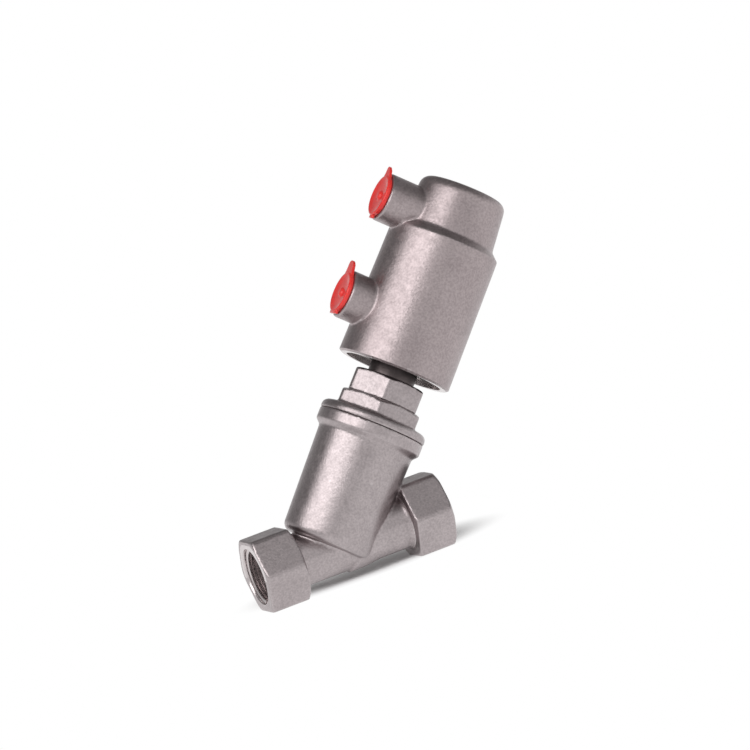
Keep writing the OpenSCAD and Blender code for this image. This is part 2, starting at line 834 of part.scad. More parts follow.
module disc_washer() {
    color("gainsboro")
        on_stem(seat_w - disc_washer_t)
            ring(stem_thread_d / 2 + thread_clear, seat_bore_r - 1, disc_washer_t);
}

module stem_nut() {
    r = nut_hex / 2;
    corner = r / cos(30);
    difference() {
        intersection() {
            cylinder(h = nut_h, r = corner, $fn = 6);
            turned([
                [0, 0], [r, 0], [corner + 0.05, 0.6], [corner + 0.05, nut_h - 0.6], [r, nut_h], [0, nut_h]
            ]);
        }
        translate([0, 0, -eps])
            cylinder(h = nut_h + 2 * eps, r = stem_thread_d / 2 + thread_clear / 2);
    }
}

module disc_nut() {
    color("gainsboro")
        on_stem(disc_nut_w)
            stem_nut();
}

module piston() {
    bore = stem_thread_d / 2 + thread_clear / 2;
    color("lightsteelblue")
        on_stem(piston_w)
            turned([
                [bore, -piston_hub_h], [piston_hub_d / 2, -piston_hub_h], [piston_hub_d / 2, 0],
                [piston_r, 0], [piston_r, piston_ring_z], [piston_ring_r, piston_ring_z],
                [piston_ring_r, piston_ring_z + piston_ring_h], [piston_r, piston_ring_z + piston_ring_h],
                [piston_r, piston_seal_z], [piston_seal_r, piston_seal_z],
                [piston_seal_r, piston_seal_z + piston_seal_h], [piston_r, piston_seal_z + piston_seal_h],
                [piston_r, piston_t], [bore, piston_t]
            ]);
}

module piston_seal() {
    color("dimgray")
        on_stem(piston_w + piston_seal_z + ring_play / 2)
            seal(piston_seal_r + thread_clear / 2, piston_bore_d / 2 - run_clear, piston_seal_h - ring_play);
}

module piston_guide_ring() {
    color("ivory")
        on_stem(piston_w + piston_ring_z + ring_play / 2)
            ring(piston_ring_r + thread_clear / 2, piston_bore_d / 2 - run_clear, piston_ring_h - ring_play);
}

module piston_washer() {
    color("gainsboro")
        on_stem(piston_top_w)
            ring(stem_thread_d / 2 + thread_clear, stem_thread_d / 2 + piston_washer_rim, piston_washer_t);
}

module piston_nut() {
    color("gainsboro")
        on_stem(piston_nut_w)
            stem_nut();
}

// Push-in plug with a dished flange, a pull tab and a moulding nib
module port_plug() {
    r = plug_d / 2;
    stub_r = air_mouth_d / 2 - plug_clear;
    dish_r = r * 0.74;
    dish = 0.6;
    tab_t = plug_t - 0.2;
    color("red")
        union() {
            difference() {
                turned([
                    [0, -plug_stub], [stub_r - 1, -plug_stub], [stub_r, -plug_stub + 1.4], [stub_r, 0],
                    [r, 0], [r, plug_t - 0.5], [r - 0.5, plug_t], [dish_r + dish, plug_t],
                    [dish_r, plug_t - dish], [2.2, plug_t - dish - 0.2], [1.6, plug_t - 0.1], [0, plug_t]
                ]);
                translate([0, 0, -plug_stub - eps])
                    cylinder(h = plug_stub, r = stub_r - 1.6);
            }
            translate([r - 1, -tab_w / 2, 0])
                cube([tab_reach - tab_w / 2 - r + 1, tab_w, tab_t]);
            translate([tab_reach - tab_w / 2, 0, 0])
                cylinder(h = tab_t, r = tab_w / 2);
            translate([-nib_reach, -1.3, 0])
                cube([nib_reach - r + 1, 2.6, tab_t]);
        }
}

module lower_port_plug() {
    on_port(port_low_w, boss_reach)
        port_plug();
}

module upper_port_plug() {
    on_port(port_high_w, boss_reach)
        port_plug();
}

valve_body();
body_gasket();
bonnet();
guide_bush();
packing_disc_springs();
packing_washer();
packing_vee_rings();
gland_nipple();
stem_wiper();
stem_seal();
swivel_washer();
swivel_circlip();
actuator_housing();
end_cover();
end_cover_o_ring();
end_cover_circlip();
swivel_bush();
swivel_seal();
outer_return_spring();
inner_return_spring();
stem();
disc_holder();
disc_seal();
disc_washer();
disc_nut();
piston();
piston_seal();
piston_guide_ring();
piston_washer();
piston_nut();
lower_port_plug();
upper_port_plug();
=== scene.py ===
import json
import math

import bpy
from mathutils import Matrix, Vector
from mathutils.bvhtree import BVHTree


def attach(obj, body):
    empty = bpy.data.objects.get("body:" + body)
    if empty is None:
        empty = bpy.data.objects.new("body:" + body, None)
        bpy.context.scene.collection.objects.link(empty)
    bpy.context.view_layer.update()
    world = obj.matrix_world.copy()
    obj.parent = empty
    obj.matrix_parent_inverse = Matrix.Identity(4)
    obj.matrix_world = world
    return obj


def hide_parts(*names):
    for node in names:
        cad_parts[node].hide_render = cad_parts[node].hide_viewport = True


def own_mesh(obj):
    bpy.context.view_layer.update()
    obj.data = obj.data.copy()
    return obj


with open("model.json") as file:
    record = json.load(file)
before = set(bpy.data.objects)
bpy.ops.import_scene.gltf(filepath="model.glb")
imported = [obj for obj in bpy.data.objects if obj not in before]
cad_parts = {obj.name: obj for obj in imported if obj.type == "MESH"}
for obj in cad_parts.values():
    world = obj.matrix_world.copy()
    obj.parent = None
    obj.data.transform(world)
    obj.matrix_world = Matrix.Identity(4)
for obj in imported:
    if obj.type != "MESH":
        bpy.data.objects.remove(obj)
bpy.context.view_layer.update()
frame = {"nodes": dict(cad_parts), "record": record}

# Sizes of the valve in millimetres, as in the part's source. Radii are from a piece's own axis.

# Body along the flow line
FACE_TO_FACE = 95.0
HEX_FLATS = 34.4
HEX_LENGTH = 19.2
HEX_EDGE = 2.6
HEX_FACE_RADIUS = HEX_FLATS / 2 + 0.9
PORT_THREAD_RADIUS = 13.22
PORT_THREAD_DEPTH = 16.0
PORT_CHAMFER = 0.35
PORT_PITCH = 1.814
PORT_THREAD_HEIGHT = 1.16
PIPE_RADIUS = 12.5
PASSAGE_RADIUS = 10.0
LINE_X = 34.2
STEM_ANGLE = 48.5

# Neck and chamber, at heights along the stem from the flow line
NECK_START = 3.4
NECK_TOP = 56.8
COLLAR_TOP = 62.2
NECK_LOW_RADIUS = 21.2
NECK_TOP_RADIUS = 22.9
COLLAR_RADIUS = 25.3
CHAMBER_FLOOR = 7.4
SEAT_HEIGHT = 8.9
CHAMBER_RADIUS = 18.5
BONNET_THREAD_START = 50.2
BONNET_THREAD_RADIUS = 20.5
GASKET_SEAT = 61.0
GASKET_RADIUS = BONNET_THREAD_RADIUS + 3.4

# Bonnet and nipple, which share the turn of their hexagons
BONNET_LOW = 43.2
BONNET_NECK_RADIUS = 12.5
BONNET_CORE_RADIUS = 20.4
FLANGE_TOP = 66.7
BONNET_TOP = 74.2
BONNET_FLATS = 37.8
GUIDE_RADIUS = 7.5
PACKING_RADIUS = 8.8
NIPPLE_FLATS = 33.0
NIPPLE_HEX_TOP = 85.4
NIPPLE_NECK_RADIUS = 11.2
NIPPLE_SHANK = COLLAR_TOP + 1.0
NIPPLE_SHANK_RADIUS = 11.9
GLAND = NIPPLE_SHANK - 0.8
GLAND_RADIUS = 8.7
STEM_BORE_RADIUS = 5.5
SEAL_GROOVE_RADIUS = 7.4
HEX_TURN = 12.0

# Actuator and its two air ports
RIM = 89.5
COVER = 94.1
COVER_TOP = 102.5
NIPPLE_TOP = 106.5
LOW_PORT = 113.6
BARREL_TOP = 153.8
SHOULDER_TOP = 157.3
HIGH_PORT = 161.8
ROOF = 177.2
DOME_TOP = 180.3
RIM_RADIUS = 27.1
BARREL_TOP_RADIUS = 26.2
DOME_LOW_RADIUS = 22.5
DOME_TOP_RADIUS = 20.4
COVER_BORE_RADIUS = 23.1
COVER_RING_RADIUS = 24.2
PISTON_BORE_RADIUS = 22.6
SPRING_BORE_RADIUS = 18.4
SPRING_STEP = SHOULDER_TOP - 6.5
JOURNAL_RADIUS = 9.42
SHELF = COVER - 0.05
SWIVEL_RING = COVER_TOP + 1.2
BOSS_RADIUS = 11.45
BOSS_REACH = 36.3
AIR_MOUTH_RADIUS = 6.85
AIR_MOUTH_DEPTH = 6.3
AIR_THREAD_RADIUS = 6.58
AIR_THREAD_DEPTH = 12.0
AIR_THREAD_HEIGHT = 0.8
AIR_PITCH = 1.337
AIR_PILOT_RADIUS = 2.5

# Piston and springs
PISTON_TOP = LOW_PORT + 14.5
SPRING_PLAY = 0.04

# Mesh work: voxel of a casting's skin, shortest edge that is kept, and the boolean solver
GRAIN = 0.54
SPECK = 0.002
SOLVER = "MANIFOLD"

CLEAR = Matrix.Identity(4)


def stem_place(height):
    """Frame on the stem axis at a height above the line, Z along the stem."""
    tilt = Matrix.Rotation(math.radians(90 - STEM_ANGLE), 4, "Y")
    return Matrix.Translation((LINE_X, 0, 0)) @ tilt @ Matrix.Translation((0, 0, height))


def line_place(x):
    """Frame on the flow line, Z along the line towards the outlet."""
    return Matrix.Translation((x, 0, 0)) @ Matrix.Rotation(math.radians(90), 4, "Y")


def outlet_place():
    """Frame at the outlet face, Z into the body."""
    return Matrix.Translation((FACE_TO_FACE, 0, 0)) @ Matrix.Rotation(math.radians(-90), 4, "Y")


def port_place(height, reach):
    """Frame on an air port's axis, Z out of the port and X towards the top of the actuator."""
    turn = Matrix.Rotation(math.radians(-90), 4, "Y")
    return stem_place(height) @ turn @ Matrix.Translation((0, 0, reach))


def clear_selection():
    bpy.ops.object.select_all(action="DESELECT")


def pick(piece):
    """Makes a piece the only selected and active one."""
    clear_selection()
    piece.select_set(True)
    bpy.context.view_layer.objects.active = piece


def edit(piece):
    pick(piece)
    bpy.ops.object.mode_set(mode="EDIT")


def done():
    bpy.ops.object.mode_set(mode="OBJECT")


def place(piece, where):
    """Puts a piece modelled about the origin where it belongs and applies its place."""
    pick(piece)
    piece.matrix_world = where @ piece.matrix_world
    bpy.ops.object.transform_apply(location=True, rotation=True, scale=True)
    return piece


def apply(piece, modifier):
    pick(piece)
    bpy.ops.object.modifier_apply(modifier=modifier.name)


def combine(piece, tool, operation):
    """Joins or cuts a piece with a tool body, which is used up."""
    work = piece.modifiers.new("work", "BOOLEAN")
    work.operation = operation
    work.solver = SOLVER
    work.object = tool
    apply(piece, work)
    bpy.data.objects.remove(tool)
    return piece


def add(piece, *tools):
    for tool in tools:
        combine(piece, tool, "UNION")
    return piece


def cut(piece, *tools):
    for tool in tools:
        combine(piece, tool, "DIFFERENCE")
    return piece


def rounded(outline, steps=4):
    """Outline of (radius, height) or (radius, height, round) points with its corners rounded."""
    points = []
    for i, corner in enumerate(outline):
        here = Vector(corner[:2])
        if len(corner) == 2:
            points.append(tuple(here))
            continue
        back = (Vector(outline[i - 1][:2]) - here).normalized()
        ahead = (Vector(outline[(i + 1) % len(outline)][:2]) - here).normalized()
        half = back.angle(ahead) / 2
        run = corner[2] / math.tan(half)
        centre = here + (back + ahead).normalized() * (corner[2] / math.sin(half))
        start = here + back * run - centre
        turn = start.angle_signed(here + ahead * run - centre)
        for k in range(steps + 1):
            angle = -turn * k / steps
            arm = Vector((
                start.x * math.cos(angle) - start.y * math.sin(angle),
                start.x * math.sin(angle) + start.y * math.cos(angle),
            ))
            points.append(tuple(centre + arm))
    return points


def turned(name, outline, sides=128, closed=False):
    """Piece turned on the lathe: an outline of (radius, height) points swung round Z."""
    clear_selection()
    bpy.ops.mesh.primitive_plane_add(size=1)
    piece = bpy.context.object
    piece.name = name
    bpy.ops.object.mode_set(mode="EDIT")
    bpy.ops.mesh.select_mode(type="VERT")
    bpy.ops.mesh.select_all(action="SELECT")
    bpy.ops.mesh.merge(type="CENTER")
    at = outline[0]
    bpy.ops.transform.translate(value=(at[0], 0, at[1]))
    path = list(outline[1:]) + ([outline[0]] if closed else [])
    for point in path:
        step = (point[0] - at[0], 0, point[1] - at[1])
        bpy.ops.mesh.extrude_region_move(TRANSFORM_OT_translate={"value": step})
        at = point
    bpy.ops.mesh.select_all(action="SELECT")
    bpy.ops.mesh.spin(steps=sides, angle=math.tau, center=(0, 0, 0), axis=(0, 0, 1))
    bpy.ops.mesh.select_all(action="SELECT")
    bpy.ops.mesh.remove_doubles(threshold=SPECK / 4)
    bpy.ops.mesh.normals_make_consistent(inside=False)
    done()
    return piece


def rod(name, radius, low, high):
    """Round bar on Z between two heights."""
    return turned(name, [(0, low), (radius, low), (radius, high), (0, high)], sides=96)


def box_body(name, low, high):
    """Plain block between two corners."""
    clear_selection()
    centre = [(a + b) / 2 for a, b in zip(low, high)]
    bpy.ops.mesh.primitive_cube_add(size=1, location=centre)
    piece = bpy.context.object
    piece.name = name
    piece.scale = [b - a for a, b in zip(low, high)]
    bpy.ops.object.transform_apply(location=True, rotation=True, scale=True)
    return piece


def hexagon(name, flats, low, high, turn, edge):
    """Hexagon prism on Z with its first corner at a turn from X, its long edges rounded."""
    clear_selection()
    bpy.ops.mesh.primitive_cylinder_add(
        vertices=6, radius=flats / 2 / math.cos(math.pi / 6), depth=high - low,
        location=(0, 0, (low + high) / 2), rotation=(0, 0, math.radians(turn - 30)))
    piece = bpy.context.object
    piece.name = name
    bpy.ops.object.transform_apply(location=True, rotation=True, scale=True)
    edit(piece)
    bpy.ops.mesh.select_mode(type="EDGE")
    bpy.ops.mesh.select_all(action="DESELECT")
    done()
    for line in piece.data.edges:
        a, b = (piece.data.vertices[v].co for v in line.vertices)
        line.select = abs(a.z - b.z) > 0.1
    bpy.ops.object.mode_set(mode="EDIT")
    bpy.ops.mesh.bevel(offset=edge * math.tan(math.pi / 6), segments=6, profile=0.5)
    done()
    return piece


def distance_to(piece):
    """Measures how far a point is from a piece's surface."""
    graph = bpy.context.evaluated_depsgraph_get()
    tree = BVHTree.FromObject(piece, graph)
    return lambda point: tree.find_nearest(point)[3]


def cast(piece, seams, reach=1.6, passes=10, soften=2):
    """Gives a joined rough shape the skin of a casting: even grain, soft edges, fillets at the seams."""
    skin = piece.modifiers.new("skin", "REMESH")
    skin.mode = "VOXEL"
    skin.voxel_size = GRAIN
    apply(piece, skin)
    soft = piece.modifiers.new("soft", "SMOOTH")
    soft.factor = 0.5
    soft.iterations = soften
    apply(piece, soft)
    return fillet(piece, seams, reach, passes) if seams else piece


def fillet(piece, seams, reach, passes, share=lambda point: 1.0):
    """Fills the inner corners along the seams, by a share that depends on the place."""
    group = piece.vertex_groups.new(name="seams")
    for vertex in piece.data.vertices:
        weight = 0.0
        for first, second in seams:
            far = max(first(vertex.co), second(vertex.co))
            weight = max(weight, 1.0 - max(0.0, far / reach - 0.5) * 2)
        if weight > 0:
            group.add([vertex.index], min(1.0, weight) * share(vertex.co), "REPLACE")
    fill = piece.modifiers.new("fillet", "SMOOTH")
    fill.factor = 0.5
    fill.iterations = passes
    fill.vertex_group = "seams"
    apply(piece, fill)
    piece.vertex_groups.clear()
    return piece


def thread(name, radius, height, pitch, low, high, sides=48):
    """Crest of an inside thread: a vee swept round and along the bore."""
    foot = pitch * 0.44
    crest = pitch * 0.07
    base = radius + 0.25
    clear_selection()
    bpy.ops.mesh.primitive_plane_add(size=1)
    piece = bpy.context.object
    piece.name = name
    tip = radius - height
    corners = [(base, low - foot), (tip, low - crest), (tip, low + crest), (base, low + foot)]
    spots = [vertex.co for vertex in piece.data.vertices]
    order = sorted(range(4), key=lambda i: math.atan2(spots[i].y, spots[i].x))
    for i, (r, h) in zip(order, corners):
        piece.data.vertices[i].co = (r, 0, h)
    turns = (high - low) / pitch
    sweep = piece.modifiers.new("sweep", "SCREW")
    sweep.axis = "Z"
    sweep.angle = math.tau * turns
    sweep.screw_offset = high - low
    sweep.steps = sweep.render_steps = int(sides * turns)
    sweep.use_merge_vertices = False
    apply(piece, sweep)
    edit(piece)
    bpy.ops.mesh.select_mode(type="VERT")
    bpy.ops.mesh.select_all(action="SELECT")
    bpy.ops.mesh.remove_doubles(threshold=SPECK / 4)
    bpy.ops.mesh.select_all(action="DESELECT")
    bpy.ops.mesh.select_non_manifold(extend=False, use_wire=False, use_boundary=True,
                                     use_multi_face=False, use_non_contiguous=False, use_verts=False)
    bpy.ops.mesh.edge_face_add()
    bpy.ops.mesh.select_all(action="SELECT")
    bpy.ops.mesh.normals_make_consistent(inside=False)
    done()
    return piece


def break_edges(piece, width):
    """Rounds the sharp edges of a piece."""
    edge = piece.modifiers.new("edge", "BEVEL")
    edge.width = width
    edge.segments = 2
    edge.limit_method = "ANGLE"
    edge.angle_limit = math.radians(32)
    edge.use_clamp_overlap = True
    apply(piece, edge)
    return piece


def finish(piece, where, body, slot, material, *nodes, angle=34,
           tooled_or_shaded=None, tooled_or_shade_finish="machined_faces"):
    """Cleans and places a finished piece, gives it its materials, hangs it on its body and hides the CAD
    parts that it takes the place of.
    """
    edit(piece)
    bpy.ops.mesh.select_all(action="SELECT")
    bpy.ops.mesh.remove_doubles(threshold=SPECK)
    bpy.ops.mesh.dissolve_degenerate(threshold=SPECK)
    bpy.ops.mesh.select_all(action="SELECT")
    bpy.ops.mesh.fill_holes(sides=12)
    done()
    piece.data.materials.clear()
    piece.data.materials.append(material)
    # The second material is either the finish of tooled faces or the dark steel of painted shade on the
    # nipple's neck
    if tooled_or_shaded:
        piece.data.materials.append(FINISHES[tooled_or_shade_finish])
    for face in piece.data.polygons:
        face.material_index = int(tooled_or_shaded(face.center)) if tooled_or_shaded else 0
    place(piece, Matrix.Scale(0.001, 4) @ where)
    pick(piece)
    bpy.ops.object.shade_smooth_by_angle(angle=math.radians(angle))
    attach(piece, body)
    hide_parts(*nodes)
    return piece


# Materials

class Recipe:
    """Node material whose patterns read the piece's own Object coordinates, in millimetres."""

    def __init__(self, name, on_stem=False):
        self.material = bpy.data.materials.new(name)
        self.material.use_nodes = True
        self.nodes = self.material.node_tree.nodes
        self.links = self.material.node_tree.links
        self.nodes.clear()
        self.shader = self.nodes.new("ShaderNodeBsdfPrincipled")
        out = self.nodes.new("ShaderNodeOutputMaterial")
        self.link(self.shader.outputs[0], out.inputs[0])
        where = self.nodes.new("ShaderNodeTexCoord")
        frame_map = self.nodes.new("ShaderNodeMapping")
        self.link(where.outputs["Object"], frame_map.inputs["Vector"])
        frame_map.inputs["Scale"].default_value = (1000, 1000, 1000)
        if on_stem:
            back = stem_place(0).inverted()
            frame_map.inputs["Rotation"].default_value = back.to_euler()
            frame_map.inputs["Location"].default_value = back.translation
        self.where = frame_map.outputs["Vector"]
        self.relief = None

    def link(self, source, target):
        self.links.new(source, target)

    def set(self, **values):
        for key, value in values.items():
            self.shader.inputs[key.replace("_", " ")].default_value = value

    def noise(self, size, detail, rough, where=None):
        """Noise with blobs of about the given size in millimetres."""
        node = self.nodes.new("ShaderNodeTexNoise")
        node.inputs["Scale"].default_value = 1.0 / size
        node.inputs["Detail"].default_value = detail
        node.inputs["Roughness"].default_value = rough
        self.link(where or self.where, node.inputs["Vector"])
        return node.outputs["Fac"]

    def spread(self, value, low, high, from_low=0.3, from_high=0.7):
        node = self.nodes.new("ShaderNodeMapRange")
        node.inputs["From Min"].default_value = from_low
        node.inputs["From Max"].default_value = from_high
        node.inputs["To Min"].default_value = low
        node.inputs["To Max"].default_value = high
        self.link(value, node.inputs["Value"])
        return node.outputs["Result"]

    def ramp(self, value, *stops):
        node = self.nodes.new("ShaderNodeValToRGB")
        band = node.color_ramp
        while len(band.elements) < len(stops):
            band.elements.new(0.5)
        for element, (position, colour) in zip(band.elements, stops):
            element.position = position
            element.color = (*colour, 1)
        self.link(value, node.inputs["Fac"])
        return node.outputs["Color"]

    def mix(self, a, b, factor, blend="MIX"):
        node = self.nodes.new("ShaderNodeMix")
        node.data_type = "RGBA"
        node.blend_type = blend
        for source, socket in ((factor, node.inputs[0]), (a, node.inputs[6]), (b, node.inputs[7])):
            if isinstance(source, (int, float)):
                socket.default_value = source
            elif isinstance(source, tuple):
                socket.default_value = (*source, 1)
            else:
                self.link(source, socket)
        return node.outputs[2]

    def math(self, operation, a, b=None):
        node = self.nodes.new("ShaderNodeMath")
        node.operation = operation
        for source, socket in ((a, node.inputs[0]), (b, node.inputs[1])):
            if isinstance(source, (int, float)):
                socket.default_value = source
            elif source is not None:
                self.link(source, socket)
        return node.outputs[0]

    def lathe(self, axis=2):
        """Coordinates of radius and height about an axis, for rings that follow the tool."""
        parts = self.nodes.new("ShaderNodeSeparateXYZ")
        self.link(self.where, parts.inputs[0])
        across = [parts.outputs[i] for i in range(3) if i != axis]
        squares = [self.math("MULTIPLY", part, part) for part in across]
        joined = self.nodes.new("ShaderNodeCombineXYZ")
        self.link(self.math("SQRT", self.math("ADD", *squares)), joined.inputs[0])
        self.link(parts.outputs[axis], joined.inputs[2])
        return joined.outputs[0]

    def bump(self, height, depth, strength):
        """Adds relief of a depth in millimetres."""
        node = self.nodes.new("ShaderNodeBump")
        node.inputs["Strength"].default_value = strength
        node.inputs["Distance"].default_value = depth * 0.001
        self.link(height, node.inputs["Height"])
        if self.relief is not None:
            self.link(self.relief, node.inputs["Normal"])
        self.relief = node.outputs["Normal"]
        self.link(self.relief, self.shader.inputs["Normal"])

    def edges(self, low, high):
        """Share of edge lightening, from how much the surface stands out: partly wear, partly a painted
        highlight.
        """
        node = self.nodes.new("ShaderNodeNewGeometry")
        return self.spread(node.outputs["Pointiness"], 0.0, 1.0, low, high)


def steel(name, low, high, gloss, grain, relief, edge_wear_and_highlight, on_stem=False):
    """Blasted stainless: a mottled tone, edges lightened partly for wear and partly as a painted highlight, a
    varied satin gloss and a grain that sparkles.
    """
    r = Recipe(name, on_stem)
    tone = r.ramp(r.noise(14, 3, 0.5), (0.25, low), (0.75, high))
    fine = r.ramp(r.noise(grain, 2, 0.6), (0.36, (0.86, 0.86, 0.86)), (0.64, (1.1, 1.1, 1.1)))
    tone = r.mix(tone, fine, 1.0, "MULTIPLY")
    # Convex edges are lightened: partly wear, partly a painted highlight
    tone = r.mix(tone, (0.62, 0.57, 0.57), r.math("MULTIPLY", r.edges(0.51, 0.58), edge_wear_and_highlight))
    r.link(tone, r.shader.inputs["Base Color"])
    r.link(r.spread(r.noise(3, 3, 0.6), *gloss), r.shader.inputs["Roughness"])
    r.set(Metallic=1.0)
    r.bump(r.noise(grain, 2, 0.6), relief, 0.8)
    r.bump(r.noise(grain * 3.2, 2, 0.5), relief, 0.4)
    r.bump(r.noise(12, 2, 0.5), 0.1, 0.3)
    return r.material


def turned_steel(name, low, high, gloss, on_stem=True):
    """Stainless turned on the lathe, with fine tool rings."""
    r = Recipe(name, on_stem)
    rings = r.noise(0.3, 2, 0.5, r.lathe(2 if on_stem else 0))
    tone = r.ramp(r.noise(6, 3, 0.55), (0.3, low), (0.7, high))
    r.link(tone, r.shader.inputs["Base Color"])
    r.link(r.spread(rings, *gloss), r.shader.inputs["Roughness"])
    r.set(Metallic=1.0)
    r.bump(rings, 0.01, 0.5)
    r.bump(r.noise(1.6, 2, 0.5), 0.04, 0.3)
    return r.material


def red_plastic():
    """Soft moulded polyethylene, bright red and glossy."""
    r = Recipe("red_plastic", True)
    tone = r.ramp(r.noise(5, 3, 0.5), (0.3, (0.6, 0.024, 0.022)), (0.7, (0.68, 0.036, 0.03)))
    r.link(tone, r.shader.inputs["Base Color"])
    r.link(r.spread(r.noise(2.5, 2, 0.5), 0.1, 0.18), r.shader.inputs["Roughness"])
    r.set(Specular_IOR_Level=0.4)
    r.bump(r.noise(7, 1, 0.5), 0.08, 0.3)
    return r.material


def small_part(name, low, high, rough, metallic, grain, rings=False):
    """Finish of the inner pieces: a varied tone, a varied gloss and a fine grain."""
    r = Recipe(name, True)
    where = r.lathe() if rings else None
    tone = r.ramp(r.noise(3, 3, 0.6), (0.3, low), (0.7, high))
    r.link(tone, r.shader.inputs["Base Color"])
    marks = r.noise(0.2, 2, 0.6, where)
    r.link(r.spread(marks, *rough), r.shader.inputs["Roughness"])
    r.set(Metallic=metallic)
    r.bump(marks, grain, 0.6)
    return r.material


FINISHES = {
    "cast_stainless": steel(
        "cast_stainless", (0.385, 0.34, 0.345), (0.445, 0.395, 0.4), (0.29, 0.42), 0.95, 0.085, 0.5),
    "blasted_stainless": steel(
        "blasted_stainless", (0.35, 0.297, 0.302), (0.4, 0.343, 0.347), (0.31, 0.44), 1.0, 0.13, 0.4),
    "hexagon_stainless": steel(
        "hexagon_stainless", (0.345, 0.303, 0.308), (0.405, 0.36, 0.365), (0.28, 0.4), 1.1, 0.12, 0.5, True),
    "turned_stainless": turned_steel(
        "turned_stainless", (0.36, 0.32, 0.325), (0.46, 0.41, 0.41), (0.26, 0.4)),
    "machined_faces": turned_steel(
        "machined_faces", (0.58, 0.53, 0.53), (0.66, 0.61, 0.61), (0.2, 0.3), False),
    # Dark steel as painted shade, for the end cover and the nipple's neck, which lie in shade under the
    # barrel's rim
    "painted_shade_steel": turned_steel(
        "painted_shade_steel", (0.09, 0.075, 0.075), (0.15, 0.125, 0.125), (0.3, 0.5)),
    "red_plastic": red_plastic(),
    "spring_steel": small_part("spring_steel", (0.3, 0.29, 0.28), (0.42, 0.4, 0.38), (0.22, 0.36), 1.0, 0.01),
    "ptfe": small_part("ptfe", (0.72, 0.7, 0.64), (0.82, 0.8, 0.74), (0.3, 0.45), 0.0, 0.01),
    "rubber": small_part("rubber", (0.015, 0.015, 0.016), (0.03, 0.03, 0.031), (0.45, 0.62), 0.0, 0.02),
    "bronze": small_part("bronze", (0.5, 0.3, 0.13), (0.62, 0.4, 0.19), (0.25, 0.4), 1.0, 0.01, rings=True),
    "aluminium": small_part(
        "aluminium", (0.62, 0.62, 0.63), (0.74, 0.74, 0.75), (0.24, 0.4), 1.0, 0.012, rings=True),
}


# Body

def port_hexagon(where, length):
    """Hexagon of a pipe port with a cone and a rounding turned on both ends."""
    piece = hexagon("port_hexagon", HEX_FLATS, 0, length, 30, HEX_EDGE)
    corner = HEX_FLATS / 2 / math.cos(math.pi / 6) + 0.5
    near_cone, far_cone, soft = 1.2, 2.0, 1.5
    face = turned("turned_ends", rounded([
        (0, 0), (HEX_FACE_RADIUS, 0, soft), (corner, near_cone), (corner, length - far_cone),
        (HEX_FLATS / 2 + 0.1, length, soft), (0, length)]))
    combine(piece, face, "INTERSECT")
    return place(piece, where)


def from_stem(point):
    """Distance from the stem axis and height along it."""
    local = stem_place(0).inverted() @ point
    return math.hypot(local.x, local.y), local.z


def body_machined(point):
    """True on the faces of the body that a tool has cut: threads, ways, seat and chamber."""
    off_line = math.hypot(point.y, point.z)
    off_stem, height = from_stem(point)
    port_end = HEX_LENGTH + 0.4
    at_end = point.x < port_end or point.x > FACE_TO_FACE - port_end
    return (off_line < PASSAGE_RADIUS + 2.0
            or (at_end and off_line < PORT_THREAD_RADIUS + 0.45)
            or (off_stem < BONNET_THREAD_RADIUS + 0.2 and height > CHAMBER_FLOOR - 0.1)
            or (off_stem < GASKET_RADIUS + 0.2 and height > GASKET_SEAT - 0.1))


def shell_machined(point):
    """True on the bores, the recess and the rim face of the actuator shell."""
    off_stem, height = from_stem(point)
    if (height < RIM + 0.05
            or (off_stem < COVER_RING_RADIUS + 0.2 and height < SPRING_STEP + 0.2)
            or (off_stem < SPRING_BORE_RADIUS + 0.2 and height < ROOF + 0.1)):
        return True
    for port in (LOW_PORT, HIGH_PORT):
        local = port_place(port, 0).inverted() @ point
        if local.z > 15 and math.hypot(local.x, local.y) < AIR_MOUTH_RADIUS + 0.45:
            return True
    return False


def pipe_necks():
    """Round pipe between the two ports, a little flared where it meets their hexagons."""
    low, high = HEX_LENGTH - 1, FACE_TO_FACE - HEX_LENGTH + 1
    flared = PIPE_RADIUS + 1.0
    half_flared = PIPE_RADIUS + 0.4
    return place(turned("pipes", [
        (0, low), (flared, low), (flared, low + 1), (half_flared, low + 1.6), (PIPE_RADIUS, low + 2.6),
        (PIPE_RADIUS, high - 2.6), (half_flared, high - 1.6), (flared, high - 1), (flared, high),
        (0, high)]), line_place(0))


def drain_pad():
    """Raised pad under the neck, on the outlet's side of it."""
    radius = PIPE_RADIUS + 1.0
    pad_end, taper_end, half_width = 50.0, 60.0, 11.0
    pad = place(turned("pad", rounded([
        (0, LINE_X), (radius, LINE_X), (radius, pad_end, 6.0), (PIPE_RADIUS - 0.1, taper_end),
        (0, taper_end)])), line_place(0))
    below = box_body("below", (LINE_X, -half_width, -radius - 0.5), (taper_end + 1, half_width, -0.5))
    combine(pad, below, "INTERSECT")
    beside = box_body("beside", (15.2, -2 * half_width, -30), (50, 2 * half_width, 30))
    return combine(pad, place(beside, stem_place(0)), "INTERSECT")


